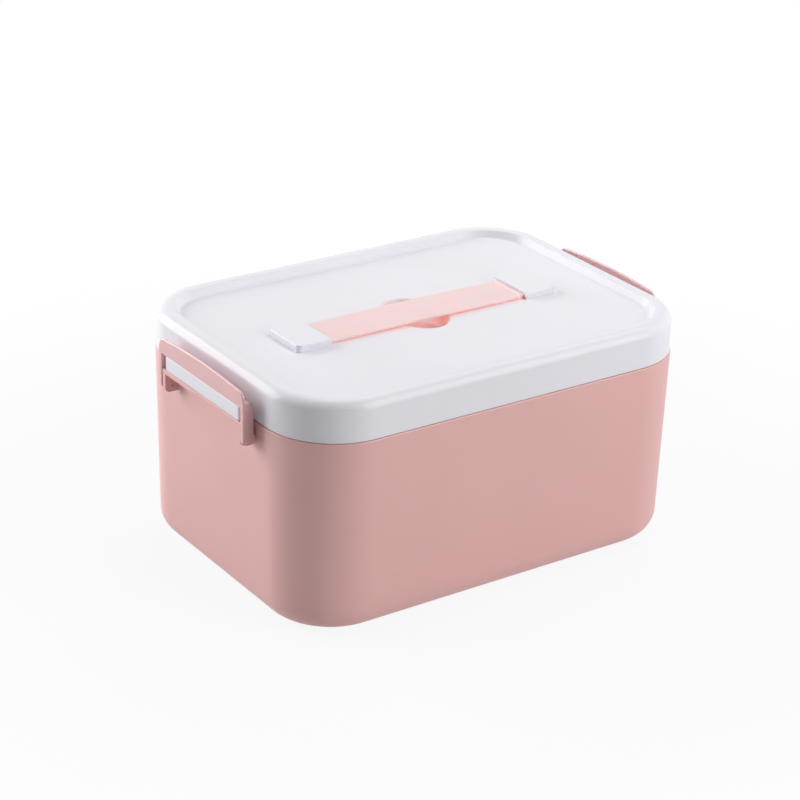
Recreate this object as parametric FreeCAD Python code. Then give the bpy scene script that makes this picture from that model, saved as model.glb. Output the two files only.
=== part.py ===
"""First aid box: a drafted tub, a lift-off lid held by two side latches, a flat carrying strap on the lid
and a lift-out tray. Millimetres, +Z up, origin at the middle of the base."""
import FreeCAD, Part
import math
import os

V = FreeCAD.Vector

# Tub
box_length = 320.0          # outside length at the shoulder, along X
box_width = 231.6           # outside width at the shoulder, along Y
corner_radius = 50.5        # vertical corner at the shoulder
shoulder_z = 139.0          # flat shoulder that the lid stands on
tub_draft = 0.88            # degrees, narrowing downwards
foot_radius = 16.8          # round under the walls
foot_inside = 9.0           # slope between the walls and the floor, inside
tub_wall = 2.5
tub_floor = 2.8
shoulder_edge = 0.5
base_ring_width = 9.0       # flat ring that the box stands on
base_recess = 0.8
tongue_inset = 3.0          # from the tub's outside to the raised tongue
tongue_wall = 1.6
tongue_height = 9.4
tongue_edge = 0.5
neck_drop = 11.0            # the wall starts to thicken this far below the shoulder
neck_rise = 4.0             # height of that thickening

# Tray seat inside the tub
post_count_long = 2         # posts on each long wall
post_count_short = 1        # posts on each short wall
post_pitch = 150.0
post_thick = 3.2
post_depth = 6.0
seat_z = 125.0              # top of the posts

# Brackets on the short sides
bracket_reach = 9.8         # from the shoulder line outwards
bracket_half = 50.5         # half of the bracket's width
ledge_thick = 2.9
ear_thick = 3.5
ear_drop = 16.6             # from the shoulder down to the ear's lower edge
ear_round = 3.6

# Latch
pivot_in = 4.5              # from the shoulder line out to the pivot axis
pivot_drop = 11.2           # from the shoulder down to the pivot axis
pin_radius = 2.3
pin_running = 0.06          # radial clearance of the pin in its ear
pin_past_ear = 0.5
latch_proud = 0.4           # latch front beyond the bracket
leg_side_gap = 0.9          # between a leg and its ear
leg_thick = 3.1
leg_depth = 7.9
boss_radius = 3.9
leg_front_round = 3.5
side_top_drop = 7.0         # a leg's side ends this far below the plate's ends
side_round = 5.6
plate_thick = 2.0
plate_height = 11.0         # from the window up to the plate's ends
plate_crown = 2.1           # rise of the plate's top edge at its middle
plate_corner = 6.5
latch_edge = 0.5            # on the plate's rim and the ledge
hook_lead = 0.4             # the hook's slope starts this far inside the plate
hook_reach = 2.0
hook_height = 3.2
hook_end_gap = 10.2         # the hook ends this far inside the lip bar's end
window_gap = 0.5            # between the lip bar's top and the plate

# Lid
seam_gap = 0.3              # between the shoulder and the lid's edge
lid_step = 0.5              # the lid stands this far inside the tub's outline
lid_draft = 1.0             # degrees, narrowing upwards
skirt_wall = 2.0
crown_height = 28.2         # from the lid's edge to the top of the rim
rim_radius = 8.1
rim_width = 11.9            # from the outside to the rim's inner edge
panel_drop = 5.6            # from the rim's top to the panel
recess_slope = 4.0          # run of the slope inside the rim
panel_wall = 2.3
crest_edge = 1.2
recess_edge = 1.2
cavity_edge = 4.5           # slope inside the rim, in place of the outside's round

# Lip bars on the lid's short sides
bar_end_gap = 3.2           # from the bar's end to the latch's leg
bar_height = 10.2
bar_back_from_latch = 0.9   # bar front behind the latch front
bar_wall = 2.2
bar_edge = 1.5
bar_end_round = 2.0

# Finger dish
dish_length = 57.0          # across the strap, inside the lip
dish_width = 33.0
dish_depth = 12.0
dish_wall = 2.2
dish_floor_round = 8.0
dish_under_edge = 6.0
dish_lip = 2.2

# Strap and its caps
mouth_x = 80.9              # cap mouths, from the middle of the lid
cap_length = 26.2
cap_half_width = 19.4
cap_height = 4.7
cap_wall = 1.7
cap_roof = 1.6
cap_corner = 3.2
cap_edge = 1.4
strap_width = 33.2
strap_thick = 1.9
strap_end_thick = 1.3
strap_lift_gap = 0.3        # between the strap and the panel
strap_bend = 4.4            # length of the thinned end before the mouth
strap_in_mouth = 1.1
strap_edge = 0.7
mouth_side_gap = 0.4
mouth_top_gap = 0.4
lintel_thick = 2.0
strap_travel = 5.6          # how far each strap end is drawn in
bead_length = 4.0
bead_height = 2.4
snap_width = 6.0
snap_thick = 1.6
snap_barb = 0.8
snap_barb_height = 2.0
snap_half_pitch = 10.0
snap_from_end = 4.6
snap_clearance = 0.25
weld = 0.2                  # how far joined pieces run into each other
rest_gap = 0.3              # where one piece rests on or stops at another
past = 1.0                  # how far a cut runs past the surface that it opens
near = 0.01                 # edges and faces closer than this share a place

# Tray
tray_gap = 0.8              # between the tray's flange and the tongue
tray_flange = 2.0
flange_edge = 0.5
tray_post_gap = 1.0         # between the tray's body and the posts
tray_wall = 1.7
tray_depth = 34.0
tray_draft = 1.5
tray_foot_edge = 4.0
spine_y = 18.0              # lengthwise wall, from the middle
spine_thick = 2.4
grip_length = 96.0          # handle tab on the lengthwise wall
grip_rise = 15.0
grip_round = 12.0
grip_hole_length = 72.0
grip_hole_height = 11.0
grip_hole_round = 4.9
grip_hole_above = 1.4       # from the tray's top to the hole
cell_wall = 1.6
rear_cells = 3
divider_x = 52.0            # removable dividers, from the middle
divider_thick = 1.5
groove_gap = 0.3
groove_jaw = 1.5
groove_depth = 2.0
divider_drop = 3.0          # divider top below the tray's flange

half_length = box_length / 2
half_width = box_width / 2
edge_z = shoulder_z + seam_gap
crown_z = edge_z + crown_height
panel_z = crown_z - panel_drop
tongue_top = shoulder_z + tongue_height
bracket_x = half_length + bracket_reach
latch_front = bracket_x + latch_proud
bar_front = latch_front - bar_back_from_latch
bar_top = edge_z + bar_height
window_z = bar_top + window_gap
plate_end_z = window_z + plate_height
pivot_x = half_length + pivot_in
pivot_z = shoulder_z - pivot_drop
leg_in = bracket_half + leg_side_gap
leg_out = leg_in + leg_thick
bar_half = leg_in - bar_end_gap
hook_half = bar_half - hook_end_gap
strap_z = panel_z + strap_lift_gap
cap_top = panel_z + cap_height
tray_top = seat_z + rest_gap + tray_flange
tray_low = tray_top - tray_depth
partition_top = tray_top - divider_drop


def tub_outline(inset, z):
    """The tub's outside at height z, drawn in by inset, as its corner radius and z."""
    shrink = inset + max(0.0, shoulder_z - z) * math.tan(math.radians(tub_draft))
    return corner_radius - shrink, z


def lid_outline(inset, z):
    """The lid's outside at height z, drawn in by inset, as its corner radius and z."""
    shrink = lid_step + inset + (z - edge_z) * math.tan(math.radians(lid_draft))
    return corner_radius - shrink, z


def between(lower, upper):
    """Solid between two outlines about the same corner axes, with flat sides and a cone at each corner."""
    headings = (V(1, 0, 0), V(0, 1, 0), V(-1, 0, 0), V(0, -1, 0))
    axes = []
    for sx, sy in ((1, 1), (-1, 1), (-1, -1), (1, -1)):
        axes.append(V(sx * (half_length - corner_radius), sy * (half_width - corner_radius), 0))
    faces = []
    rims = ([], [])
    for i, axis in enumerate(axes):
        following = headings[(i + 1) % 4]
        starts, ends, nexts = [], [], []
        for radius, z in (lower, upper):
            level = V(0, 0, z)
            starts.append(axis + headings[i] * radius + level)
            ends.append(axis + following * radius + level)
            nexts.append(axes[(i + 1) % 4] + following * radius + level)
        faces.append(Part.LineSegment(*starts).toShape().revolve(axis, V(0, 0, 1), 90))
        faces.append(Part.Face(Part.makePolygon([ends[0], nexts[0], nexts[1], ends[1], ends[0]])))
        for k, (radius, z) in enumerate((lower, upper)):
            middle = axis + (headings[i] + following).normalize() * radius + V(0, 0, z)
            rims[k].append(Part.Arc(starts[k], middle, ends[k]).toShape())
            rims[k].append(Part.LineSegment(ends[k], nexts[k]).toShape())
    faces += [Part.Face(Part.Wire(rim)) for rim in rims]
    shell = Part.makeShell(faces)
    shell.sewShape()
    return Part.makeSolid(shell)


def edges_at_height(shape, z):
    """Edges that lie wholly at height z."""
    found = []
    for edge in shape.Edges:
        box = edge.BoundBox
        if abs(box.ZMin - z) < near and abs(box.ZMax - z) < near:
            found.append(edge)
    return found


def upright_edges(shape, test):
    """Vertical straight edges whose middle passes the test."""
    found = []
    for edge in shape.Edges:
        box = edge.BoundBox
        if box.XLength < near and box.YLength < near and test(box.Center):
            found.append(edge)
    return found


def block(x0, x1, y0, y1, z0, z1):
    """Box between two corners."""
    return Part.makeBox(x1 - x0, y1 - y0, z1 - z0, V(x0, y0, z0))


def cylinder_y(x, z, radius, y0, y1):
    """Round bar along Y."""
    return Part.makeCylinder(radius, y1 - y0, V(x, y0, z), V(0, 1, 0))


def half_turn(shape):
    """The same shape on the other short side."""
    turned = shape.copy()
    turned.rotate(V(0, 0, 0), V(0, 0, 1), 180)
    return turned


def clean(shape):
    """One solid with its split faces joined."""
    return shape.removeSplitter()


def make_bracket():
    """Ledge and two ears on the -X side, reaching into the wall."""
    into_wall = half_length - tub_wall / 2
    ledge = block(-bracket_x, -into_wall, -bracket_half, bracket_half, shoulder_z - ledge_thick, shoulder_z)
    ledge = ledge.makeFillet(latch_edge, edges_at_height(ledge, shoulder_z))
    ears = []
    for side in (-1, 1):
        y0 = bracket_half - ear_thick if side > 0 else -bracket_half
        low_z = shoulder_z - ear_drop
        ear = block(-bracket_x, -into_wall, y0, y0 + ear_thick, low_z, shoulder_z - ledge_thick / 2)
        corner = [e for e in ear.Edges if e.BoundBox.YLength > ear_thick / 2
                  and abs(e.BoundBox.XMax + bracket_x) < near and abs(e.BoundBox.ZMax - low_z) < near]
        ear = ear.makeFillet(ear_round, corner)
        hole = cylinder_y(-pivot_x, pivot_z, pin_radius + pin_running, y0 - past, y0 + ear_thick + past)
        ears.append(ear.cut(hole))
    return ledge.fuse(ears)


def make_posts():
    """Upright posts inside the walls whose tops carry the tray."""
    inner_x = half_length - tub_wall
    inner_y = half_width - tub_wall
    posts = []
    for side in (-1, 1):
        for i in range(post_count_long):
            x = (i - (post_count_long - 1) / 2) * post_pitch
            y0, y1 = sorted((side * (inner_y - post_depth), side * (inner_y + tub_wall)))
            posts.append(block(x - post_thick / 2, x + post_thick / 2, y0, y1, tub_floor / 2, seat_z))
        for i in range(post_count_short):
            y = (i - (post_count_short - 1) / 2) * post_pitch
            x0, x1 = sorted((side * (inner_x - post_depth), side * (inner_x + tub_wall)))
            posts.append(block(x0, x1, y - post_thick / 2, y + post_thick / 2, tub_floor / 2, seat_z))
    return posts


def make_tub():
    outer = between(tub_outline(0, 0), tub_outline(0, shoulder_z))
    outer = outer.makeFillet(foot_radius, edges_at_height(outer, 0))
    outer = outer.makeChamfer(shoulder_edge, edges_at_height(outer, shoulder_z))
    tongue_in = tongue_inset + tongue_wall
    tongue = between(tub_outline(tongue_inset, shoulder_z - tongue_wall), tub_outline(tongue_inset, tongue_top))
    tongue = tongue.makeChamfer(tongue_edge, edges_at_height(tongue, tongue_top))
    neck_low = shoulder_z - neck_drop
    neck_high = neck_low + neck_rise
    room = between(tub_outline(tub_wall, tub_floor), tub_outline(tub_wall, neck_low))
    room = room.makeChamfer(foot_inside, edges_at_height(room, tub_floor))
    neck = between(tub_outline(tub_wall, neck_low), tub_outline(tongue_in, neck_high))
    mouth = between(tub_outline(tongue_in, neck_high), tub_outline(tongue_in, tongue_top + past))
    body = outer.fuse(tongue).cut(room.fuse([neck, mouth]))
    trim = between(tub_outline(tub_wall / 2, 0), tub_outline(tub_wall / 2, shoulder_z))
    trim = trim.makeFillet(foot_radius - tub_wall / 2, edges_at_height(trim, 0))
    posts = [post.common(trim) for post in make_posts()]
    bracket = make_bracket()
    body = body.fuse(posts + [bracket, half_turn(bracket)])
    ring_in = foot_radius + base_ring_width
    recess = between(tub_outline(ring_in, -past), tub_outline(ring_in, base_recess))
    return clean(body.cut(recess))


def make_bar():
    """Hollow lip bar on the lid's -X side, open underneath."""
    into_skirt = half_length - lid_step - skirt_wall / 2
    bar = block(-bar_front, -into_skirt, -bar_half, bar_half, edge_z, bar_top)
    bar = bar.makeFillet(bar_end_round, upright_edges(bar, lambda p: p.x < -half_length))
    front_top = [e for e in edges_at_height(bar, bar_top) if e.BoundBox.XMin < -half_length - bar_wall]
    bar = bar.makeFillet(bar_edge, front_top)
    hollow = block(-bar_front + bar_wall, -half_length, -bar_half + bar_wall, bar_half - bar_wall,
                   edge_z, bar_top - bar_wall)
    return bar, hollow


def obround(length, width, z0, z1):
    """Upright slab with round ends, long across Y."""
    radius = width / 2
    middle = length / 2 - radius
    slab = block(-radius, radius, -middle, middle, z0, z1)
    ends = [Part.makeCylinder(radius, z1 - z0, V(0, s * middle, z0)) for s in (-1, 1)]
    return clean(slab.fuse(ends))


def make_dish():
    """Bowl wall below the panel and the space that is cut from it."""
    low = panel_z - dish_depth
    space = obround(dish_length, dish_width, low, panel_z)
    space = space.makeFillet(dish_floor_round, edges_at_height(space, low))
    shell = obround(dish_length + 2 * dish_wall, dish_width + 2 * dish_wall, low - dish_wall, panel_z)
    shell = shell.makeChamfer(dish_under_edge, edges_at_height(shell, low - dish_wall))
    return shell, space


def snap_slots():
    """Slots in the panel for the caps' snap legs."""
    cuts = []
    for x_sign in (-1, 1):
        x = x_sign * (mouth_x + cap_length - snap_from_end)
        for y_sign in (-1, 1):
            y = y_sign * snap_half_pitch
            hx = snap_thick / 2 + snap_clearance
            hy = snap_width / 2 + snap_clearance
            cuts.append(block(x - hx, x + hx, y - hy, y + hy, panel_z - panel_wall - past, panel_z + past))
    return cuts


def make_lid():
    skin = between(lid_outline(0, edge_z), lid_outline(0, crown_z))
    skin = skin.makeFillet(rim_radius, edges_at_height(skin, crown_z))
    slope = recess_slope / panel_drop * past
    recess = between(lid_outline(rim_width + recess_slope, panel_z), lid_outline(rim_width - slope, crown_z + past))
    recess = recess.makeChamfer(recess_edge, edges_at_height(recess, panel_z))
    skin = skin.cut(recess)
    crest = [e for e in edges_at_height(skin, crown_z)
             if e.BoundBox.XMax < half_length - rim_width + crest_edge
             and e.BoundBox.YMax < half_width - rim_width + crest_edge]
    skin = skin.makeChamfer(crest_edge, crest)
    ceiling = crown_z - panel_wall
    cavity = between(lid_outline(skirt_wall, edge_z - past), lid_outline(skirt_wall, ceiling))
    cavity = cavity.makeChamfer(cavity_edge, edges_at_height(cavity, ceiling))
    under_panel = panel_z - panel_wall
    plateau = between(lid_outline(rim_width + recess_slope - panel_wall, under_panel),
                      lid_outline(rim_width - panel_wall, crown_z))
    shell, space = make_dish()
    body = clean(skin.cut(cavity.cut(plateau)).fuse(shell).cut(space))
    lip = [e for e in edges_at_height(body, panel_z)
           if e.BoundBox.XMax < dish_width / 2 + dish_lip and e.BoundBox.XMin > -dish_width / 2 - dish_lip]
    body = body.makeChamfer(dish_lip, lip)
    bar, hollow = make_bar()
    body = body.fuse([bar, half_turn(bar)])
    body = body.cut([hollow, half_turn(hollow)] + snap_slots())
    return clean(body)


def make_leg(y0, y1):
    """One latch leg: side flange with a boss round the pivot."""
    low_z = pivot_z - boss_radius
    top_z = plate_end_z - side_top_drop
    upper = block(-latch_front, -latch_front + leg_depth, y0, y1, pivot_z, top_z)
    corner = [e for e in upper.Edges if e.BoundBox.YLength > (y1 - y0) / 2
              and abs(e.BoundBox.XMin + latch_front - leg_depth) < near and abs(e.BoundBox.ZMin - top_z) < near]
    upper = upper.makeFillet(side_round, corner)
    lower = block(-latch_front, -pivot_x, y0, y1, low_z, pivot_z)
    corner = [e for e in lower.Edges if e.BoundBox.YLength > (y1 - y0) / 2
              and abs(e.BoundBox.XMax + latch_front) < near and abs(e.BoundBox.ZMax - low_z) < near]
    lower = lower.makeFillet(leg_front_round, corner)
    boss = cylinder_y(-pivot_x, pivot_z, boss_radius, y0, y1)
    return upper.fuse([lower, boss])


def make_plate():
    """Pull plate above the window, with a crowned top edge and round corners."""
    x0 = -latch_front
    left = V(x0, -leg_out, plate_end_z - plate_corner)
    right = V(x0, leg_out, plate_end_z - plate_corner)
    left_top = V(x0, -leg_out + plate_corner, plate_end_z)
    right_top = V(x0, leg_out - plate_corner, plate_end_z)
    k = plate_corner * (1 - math.sqrt(0.5))
    edges = [
        Part.LineSegment(V(x0, -leg_out, window_z), left).toShape(),
        Part.Arc(left, V(x0, -leg_out + k, plate_end_z - k), left_top).toShape(),
        Part.Arc(left_top, V(x0, 0, plate_end_z + plate_crown), right_top).toShape(),
        Part.Arc(right_top, V(x0, leg_out - k, plate_end_z - k), right).toShape(),
        Part.LineSegment(right, V(x0, leg_out, window_z)).toShape(),
        Part.LineSegment(V(x0, leg_out, window_z), V(x0, -leg_out, window_z)).toShape(),
    ]
    plate = Part.Face(Part.Wire(edges)).extrude(V(plate_thick, 0, 0))
    rim = [e for e in plate.Edges if e.BoundBox.ZMax > window_z + plate_thick and e.BoundBox.XLength < near]
    return plate.makeChamfer(latch_edge, rim)


def prism_y(points, y0, y1):
    """Solid with the given (x, z) outline between two values of y."""
    corners = [V(x, y0, z) for x, z in points]
    return Part.Face(Part.makePolygon(corners + [corners[0]])).extrude(V(0, y1 - y0, 0))


def make_hook():
    """Rib behind the plate that catches over the lip bar, sloped to ride off it, and its lead on the plate."""
    back = -latch_front + plate_thick
    root = back - plate_thick / 2
    start = back - hook_lead
    tip_z = window_z + hook_lead + hook_reach
    top_z = tip_z + hook_height
    rib = prism_y([(root, window_z + hook_lead), (back, window_z + hook_lead), (back + hook_reach, tip_z),
                   (back, top_z), (root, top_z)], -hook_half, hook_half)
    lead = prism_y([(start, window_z), (back, window_z + hook_lead), (back + weld, window_z + hook_lead),
                    (back + weld, window_z - weld), (start, window_z - weld)], -leg_in, leg_in)
    return rib, lead


def make_latch():
    """Latch on the -X side."""
    rib, lead = make_hook()
    pieces = [rib]
    for side in (-1, 1):
        y0, y1 = sorted((side * leg_in, side * leg_out))
        pieces.append(make_leg(y0, y1))
        pin_in = bracket_half - ear_thick - pin_past_ear
        p0, p1 = sorted((side * pin_in, side * (leg_in + leg_thick / 2)))
        pieces.append(cylinder_y(-pivot_x, pivot_z, pin_radius, p0, p1))
    return clean(make_plate().cut(lead).fuse(pieces))


def make_cap():
    """Cover over the strap's end on the -X side, with two snap legs."""
    far = -mouth_x - cap_length
    cap = block(far, -mouth_x, -cap_half_width, cap_half_width, panel_z, cap_top)
    cap = cap.makeFillet(cap_corner, upright_edges(cap, lambda p: p.x < far + near))
    top = [e for e in edges_at_height(cap, cap_top) if e.BoundBox.XMin < -mouth_x - near]
    cap = cap.makeChamfer(cap_edge, top)
    inner = cap_half_width - cap_wall
    roof = cap_top - cap_roof
    room = block(far + cap_wall, -mouth_x - lintel_thick, -inner, inner, panel_z - past, roof)
    slot_half = strap_width / 2 + mouth_side_gap
    slot_top = strap_z + strap_end_thick + mouth_top_gap
    mouth = block(-mouth_x - lintel_thick - past, -mouth_x + past, -slot_half, slot_half,
                  panel_z - past, slot_top)
    cap = cap.cut([room, mouth])
    legs = []
    x = far + snap_from_end
    under = panel_z - panel_wall
    for side in (-1, 1):
        y0 = side * snap_half_pitch - snap_width / 2
        y1 = y0 + snap_width
        x1 = x + snap_thick / 2
        legs.append(block(x - snap_thick / 2, x1, y0, y1, under - snap_barb_height, roof))
        low = under - snap_barb_height
        legs.append(prism_y([(x1 - weld, under), (x1 + snap_clearance + snap_barb, under),
                             (x1, low), (x1 - weld, low)], y0, y1))
    return clean(cap.fuse(legs))


def strap_profile():
    """Side view of the band: full thickness, thinned before each mouth."""
    end = mouth_x + strap_in_mouth
    thin = strap_z + strap_end_thick
    full = strap_z + strap_thick
    bend = mouth_x - strap_bend
    points = [V(-end, 0, strap_z), V(end, 0, strap_z), V(end, 0, thin), V(mouth_x, 0, thin),
              V(bend, 0, full), V(-bend, 0, full), V(-mouth_x, 0, thin), V(-end, 0, thin)]
    return Part.Face(Part.makePolygon(points + [points[0]]))


def make_band():
    band = strap_profile().extrude(V(0, strap_width, 0))
    band.translate(V(0, -strap_width / 2, 0))
    bend = mouth_x - strap_bend
    long_edges = [e for e in edges_at_height(band, strap_z + strap_thick) if e.BoundBox.XLength > bend]
    return clean(band.makeFillet(strap_edge, long_edges))


def make_tongue():
    """Strap end inside the -X cap, with the bead that stops it at the mouth."""
    start = -mouth_x - strap_in_mouth
    bead = -mouth_x - lintel_thick - strap_travel - rest_gap
    half = strap_width / 2
    blade = block(bead - bead_length, start, -half, half, strap_z, strap_z + strap_end_thick)
    stop = block(bead - bead_length, bead, -half, half, strap_z, strap_z + bead_height)
    return clean(blade.fuse(stop))


def tray_body_size():
    """Outside length, width and corner of the tray under its flange."""
    shrink = tub_wall + post_depth + tray_post_gap
    shrink += (shoulder_z - seat_z) * math.tan(math.radians(tub_draft))
    return box_length - 2 * shrink, box_width - 2 * shrink, corner_radius - shrink


def tray_outline(inset, z):
    """The tray's outside at height z, drawn in by inset, as its corner radius and z."""
    shrink = inset + (tray_top - z) * math.tan(math.radians(tray_draft))
    return tray_body_size()[2] - shrink, z


def partitions(space):
    """Fixed walls inside the tray, trimmed to its inside."""
    length, width, radius = tray_body_size()
    low = tray_low
    walls = [block(-length / 2, length / 2, spine_y - spine_thick / 2, spine_y + spine_thick / 2, low, tray_top)]
    pitch = length / rear_cells
    for i in range(1, rear_cells):
        x = -length / 2 + i * pitch
        walls.append(block(x - cell_wall / 2, x + cell_wall / 2, spine_y, width / 2, low, partition_top))
    return [wall.common(space) for wall in walls]


def groove_jaws():
    """Pairs of small ribs that hold the removable dividers, on the front wall and on the spine."""
    width = tray_body_size()[1]
    front = -width / 2
    spine = spine_y - spine_thick / 2
    gap = divider_thick / 2 + groove_gap
    jaws = []
    for x in (-divider_x, divider_x):
        for side in (-1, 1):
            x0, x1 = sorted((x + side * gap, x + side * (gap + groove_jaw)))
            reach = groove_depth + tray_wall + tray_depth * math.tan(math.radians(tray_draft))
            jaws.append(block(x0, x1, front, front + reach, tray_low, partition_top))
            jaws.append(block(x0, x1, spine - groove_depth, spine + spine_thick / 2, tray_low, partition_top))
    return jaws


def make_tray():
    low = tray_low
    outer = between(tray_outline(0, low), tray_outline(0, tray_top))
    outer = outer.makeChamfer(tray_foot_edge, edges_at_height(outer, low))
    space = between(tray_outline(tray_wall, low + tray_wall), tray_outline(tray_wall, tray_top + past))
    space = space.makeChamfer(tray_foot_edge - tray_wall / 2, edges_at_height(space, low + tray_wall))
    reach = tongue_inset + tongue_wall + tray_gap
    flange = between(tub_outline(reach, shoulder_z), tub_outline(reach, shoulder_z + tray_flange))
    flange.translate(V(0, 0, tray_top - tray_flange - shoulder_z))
    flange = flange.makeChamfer(flange_edge, edges_at_height(flange, tray_top))
    body = outer.fuse(flange).cut(space)
    inside = outer.common(between(tray_outline(tray_wall / 2, low), tray_outline(tray_wall / 2, tray_top)))
    jaws = [jaw.common(inside) for jaw in groove_jaws()]
    grip = block(-grip_length / 2, grip_length / 2, spine_y - spine_thick / 2,
                 spine_y + spine_thick / 2, tray_top - tray_flange, tray_top + grip_rise)
    ends = [e for e in grip.Edges if e.BoundBox.YLength > spine_thick / 2 and e.BoundBox.ZMin > tray_top]
    grip = grip.makeFillet(grip_round, ends)
    body = body.fuse(partitions(inside) + jaws + [grip])
    hole_z = tray_top + grip_hole_above
    hole = block(-grip_hole_length / 2, grip_hole_length / 2, spine_y - spine_thick, spine_y + spine_thick,
                 hole_z, hole_z + grip_hole_height)
    hole = hole.makeFillet(grip_hole_round, [e for e in hole.Edges if e.BoundBox.YLength > spine_thick])
    return clean(body.cut(hole))


def make_divider(x):
    """Removable partition between the front wall and the spine."""
    low = tray_low + tray_wall
    inside = between(tray_outline(tray_wall + groove_gap, low), tray_outline(tray_wall + groove_gap, tray_top))
    far = spine_y - spine_thick / 2 - groove_gap
    foot_z = low + rest_gap
    plate = block(x - divider_thick / 2, x + divider_thick / 2, -half_width, far, foot_z, partition_top)
    plate = plate.common(inside)
    lower = [e for e in edges_at_height(plate, foot_z)
             if e.BoundBox.XLength > divider_thick / 2 and e.BoundBox.YMax < 0]
    return plate.makeChamfer(tray_foot_edge - tray_wall / 2, lower)


def save(name, shape):
    """One STEP file for one node."""
    print(name, "solids", len(shape.Solids), "volume", round(shape.Volume, 1), "valid", shape.isValid())
    shape.exportStep(os.path.join("parts", name + ".step"))


def main():
    os.makedirs("parts", exist_ok=True)
    latch = make_latch()
    cap = make_cap()
    tongue = make_tongue()
    nodes = {
        "tub": make_tub(),
        "lid": make_lid(),
        "latch_left": latch,
        "latch_right": half_turn(latch),
        "strap_cap_left": cap,
        "strap_cap_right": half_turn(cap),
        "strap_band": make_band(),
        "strap_end_left": tongue,
        "strap_end_right": half_turn(tongue),
        "tray": make_tray(),
        "tray_divider_left": make_divider(-divider_x),
        "tray_divider_right": make_divider(divider_x),
    }
    for name, shape in nodes.items():
        save(name, shape)


main()
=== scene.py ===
"""First aid box with handle: moulded shells, strap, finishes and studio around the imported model. Metres."""
import math

import bmesh
import bpy
from bpy.props import FloatProperty, FloatVectorProperty, PointerProperty
from mathutils import Matrix, Vector


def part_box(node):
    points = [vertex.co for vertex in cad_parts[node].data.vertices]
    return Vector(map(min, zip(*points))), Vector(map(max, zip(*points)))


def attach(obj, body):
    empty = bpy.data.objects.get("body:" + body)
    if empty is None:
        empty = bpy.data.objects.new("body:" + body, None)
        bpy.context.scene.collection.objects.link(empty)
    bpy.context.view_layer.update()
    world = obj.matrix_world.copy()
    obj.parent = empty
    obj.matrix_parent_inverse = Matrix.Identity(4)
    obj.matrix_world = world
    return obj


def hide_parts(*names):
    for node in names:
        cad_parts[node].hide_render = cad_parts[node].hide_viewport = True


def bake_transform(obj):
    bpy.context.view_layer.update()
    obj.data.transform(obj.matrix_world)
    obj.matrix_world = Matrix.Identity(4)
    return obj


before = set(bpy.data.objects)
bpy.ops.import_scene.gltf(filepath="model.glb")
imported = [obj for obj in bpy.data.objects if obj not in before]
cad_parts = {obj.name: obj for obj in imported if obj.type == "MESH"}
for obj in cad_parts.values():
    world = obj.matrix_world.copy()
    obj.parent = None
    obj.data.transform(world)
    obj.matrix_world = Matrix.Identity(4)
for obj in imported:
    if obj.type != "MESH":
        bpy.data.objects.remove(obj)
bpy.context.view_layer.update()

bl_info = {
    "name": "First aid box with handle",
    "version": (1, 0, 0),
    "blender": (4, 5, 0),
    "location": "3D View > Sidebar > First aid box",
    "description": "Dresses the packed first aid box and sets up its studio",
    "category": "Add Mesh",
}

MM = 0.001
TUB_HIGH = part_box("tub")[1]
LID_LOW, LID_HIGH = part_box("lid")
BAND_LOW, BAND_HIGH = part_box("strap_band")
CAP_LOW, CAP_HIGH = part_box("strap_cap_right")
SEAM_GAP = 0.3 * MM
SHOULDER_Z = LID_LOW.z - SEAM_GAP
BRACKET_REACH = 9.8 * MM
HALF_LENGTH = TUB_HIGH.x - BRACKET_REACH
HALF_WIDTH = TUB_HIGH.y
# A point this near to a plane lies on it.
TOUCHING = 0.001 * MM

# Width, height and place of each softbox.
SOFTBOXES = {
    "top": (1.5, 1.5, (0.6, 0.2, 1.88)),
    "left": (1.9, 1.6, (-1.24, 1.69, 0.8)),
    "right": (1.1, 1.7, (0.88, -1.59, 0.93)),
}


def length(name, text, millimetres):
    return FloatProperty(name=name, description=text, default=millimetres * MM, unit="LENGTH", precision=5)


def angle(name, text, degrees):
    return FloatProperty(name=name, description=text, default=math.radians(degrees), subtype="ANGLE",
                         unit="ROTATION")


def share(name, text, value):
    return FloatProperty(name=name, description=text, default=value, min=0.0, max=1.0, subtype="FACTOR")


def amount(name, text, value):
    return FloatProperty(name=name, description=text, default=value, min=0.0)


def colour(name, text, rgb):
    return FloatVectorProperty(name=name, description=text, default=rgb, size=3, min=0.0, max=1.0,
                               subtype="COLOR")


class TubSizes(bpy.types.PropertyGroup):
    """Sizes of the pink tub."""
    corner: length("Corner", "Upright corner radius at the shoulder", 50.5)
    draft: angle("Draft", "Lean of the walls, narrowing downwards", 0.88)
    foot: length("Foot round", "Round between the walls and the base", 16.8)
    foot_inside: length("Inner foot round", "Round between the walls and the floor inside", 14.0)
    wall: length("Wall", "Wall thickness", 2.5)
    floor: length("Floor", "Floor thickness", 2.8)
    shoulder_edge: length("Shoulder round", "Round on the shoulder's outer edge", 0.9)
    tongue_inset: length("Tongue inset", "From the outside to the raised tongue", 3.0)
    tongue_wall: length("Tongue wall", "Thickness of the raised tongue", 1.6)
    neck_drop: length("Neck drop", "Where the wall starts to thicken, below the shoulder", 11.0)
    neck_rise: length("Neck rise", "Height of the thickening", 4.0)
    ring_in: length("Base ring", "From the outside to the recessed base", 25.8)
    recess: length("Base recess", "Depth of the recessed base", 0.8)
    post_pitch: length("Post pitch", "Between the tray posts on a long wall", 150.0)
    post_thick: length("Post thickness", "Thickness of a tray post", 3.2)
    post_depth: length("Post depth", "How far a tray post stands out of the wall", 6.0)
    post_top: length("Post top", "Height of the tray's seat", 125.0)
    post_edge: length("Post edge", "Round on the posts' edges", 0.3)
    bracket_edge: length("Bracket edge", "Round on the brackets' edges", 0.45)


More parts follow.
